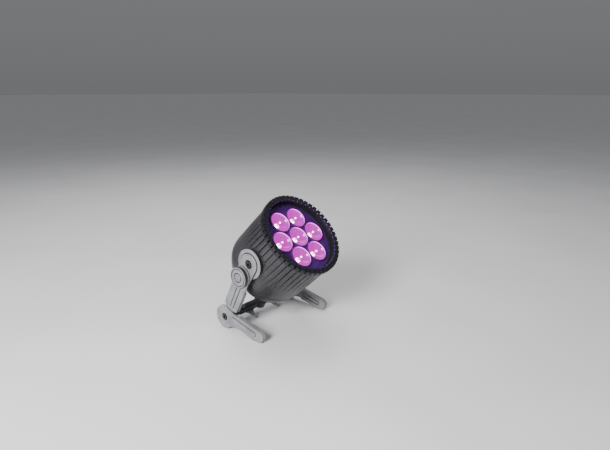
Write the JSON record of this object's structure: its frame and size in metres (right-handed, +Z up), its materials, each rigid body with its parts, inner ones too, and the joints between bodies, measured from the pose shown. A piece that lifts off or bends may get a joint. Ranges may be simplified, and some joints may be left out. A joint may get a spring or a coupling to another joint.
{
  "type": "par can light",
  "caption": "LED par can with a round finned lamp head and glowing lenses, hinged side arms with clamp knobs, a clamp bar and fold-out feet.",
  "frame": {"origin": "middle of the box's base, on the surface the feet stand on", "axes": "+Z up, -Y the side the lamp shines to, X along the tilt axis"},
  "size_m": [0.2192, 0.2262, 0.2716],
  "materials": {
    "housing_coat": "satin",
    "stand_coat": "satin",
    "ring_black": "satin",
    "bar_black": "satin",
    "lens_plate_black": "satin",
    "lens": "gloss",
    "led": "satin",
    "led_board_white": "satin",
    "bare_aluminium": "satin",
    "circuit_board": "satin",
    "rubber": "matte",
    "display": "gloss",
    "black_plastic": "satin",
    "steel": "satin",
    "black_steel": "satin"
  },
  "bodies": {
    "yoke": {"lower_arm_left": "stand_coat", "lower_arm_right": "stand_coat", "crossbar": "bar_black", "clamp_plate": "stand_coat", "clamp_screw_left": "steel", "clamp_screw_right": "steel"},
    "links": {"upper_arm_left": "stand_coat", "upper_arm_right": "stand_coat", "elbow_stud_left": "steel", "elbow_stud_right": "steel", "elbow_washer_left": "rubber", "elbow_washer_right": "rubber"},
    "head": {"housing": "housing_coat", "front_ring": "ring_black", "lens_plate": "lens_plate_black", "lens_gasket": "rubber", "lens_1": "lens", "lens_2": "lens", "lens_3": "lens", "lens_4": "lens", "lens_5": "lens", "lens_6": "lens", "lens_7": "lens", "led_board": "led_board_white", "led_1": "led", "led_2": "led", "led_3": "led", "led_4": "led", "led_5": "led", "led_6": "led", "led_7": "led", "heat_sink": "bare_aluminium", "power_supply": "bare_aluminium", "control_board": "circuit_board", "cap_gasket": "rubber", "rear_cap": "housing_coat", "display_window": "display", "power_in": "black_plastic", "power_out": "black_plastic", "data_in": "black_plastic", "data_out": "black_plastic", "safety_eye": "steel", "tilt_washer_left": "rubber", "tilt_washer_right": "rubber", "tilt_bolt_left": "black_steel", "tilt_bolt_right": "black_steel"},
    "foot_left": {"foot_left": "stand_coat", "foot_bolt_left": "black_steel", "foot_stop_left": "steel"},
    "foot_right": {"foot_right": "stand_coat", "foot_bolt_right": "black_steel", "foot_stop_right": "steel"},
    "knob_left": {"elbow_knob_left": "stand_coat", "knob_cap_left": "stand_coat"},
    "knob_right": {"elbow_knob_right": "stand_coat", "knob_cap_right": "stand_coat"},
    "button_1": {"menu_button_1": "black_plastic"},
    "button_2": {"menu_button_2": "black_plastic"},
    "button_3": {"menu_button_3": "black_plastic"},
    "button_4": {"menu_button_4": "black_plastic"}
  },
  "joints": [
    {"name": "elbow", "type": "hinge", "parent": "yoke", "child": "links", "pos_m": [0, 0.02131, 0.12566], "axis": [1, 0, 0], "range_deg": [-60, 60]},
    {"name": "tilt", "type": "hinge", "parent": "links", "child": "head", "pos_m": [0, 0.00481, 0.15304], "axis": [1, 0, 0], "range_deg": [-130, 130]},
    {"name": "foot_left_fold", "type": "hinge", "parent": "yoke", "child": "foot_left", "pos_m": [0, 0.07337, 0.0248], "axis": [1, 0, 0], "range_deg": [0, 100]},
    {"name": "foot_right_fold", "type": "hinge", "parent": "yoke", "child": "foot_right", "pos_m": [0, 0.07337, 0.0248], "axis": [1, 0, 0], "range_deg": [0, 100]},
    {"name": "knob_left_turn", "type": "hinge", "parent": "yoke", "child": "knob_left", "pos_m": [-0.105, 0.02131, 0.12566], "axis": [-1, 0, 0], "range_deg": [0, 180]},
    {"name": "knob_right_turn", "type": "hinge", "parent": "yoke", "child": "knob_right", "pos_m": [0.105, 0.02131, 0.12566], "axis": [1, 0, 0], "range_deg": [0, 180]},
    {"name": "button_1_press", "type": "slide", "parent": "head", "child": "button_1", "axis": [0, -0.729, 0.6845], "range_m": [0, 0.0012], "stiffness_N_per_m": 300},
    {"name": "button_2_press", "type": "slide", "parent": "head", "child": "button_2", "axis": [0, -0.729, 0.6845], "range_m": [0, 0.0012], "stiffness_N_per_m": 300},
    {"name": "button_3_press", "type": "slide", "parent": "head", "child": "button_3", "axis": [0, -0.729, 0.6845], "range_m": [0, 0.0012], "stiffness_N_per_m": 300},
    {"name": "button_4_press", "type": "slide", "parent": "head", "child": "button_4", "axis": [0, -0.729, 0.6845], "range_m": [0, 0.0012], "stiffness_N_per_m": 300}
  ]
}
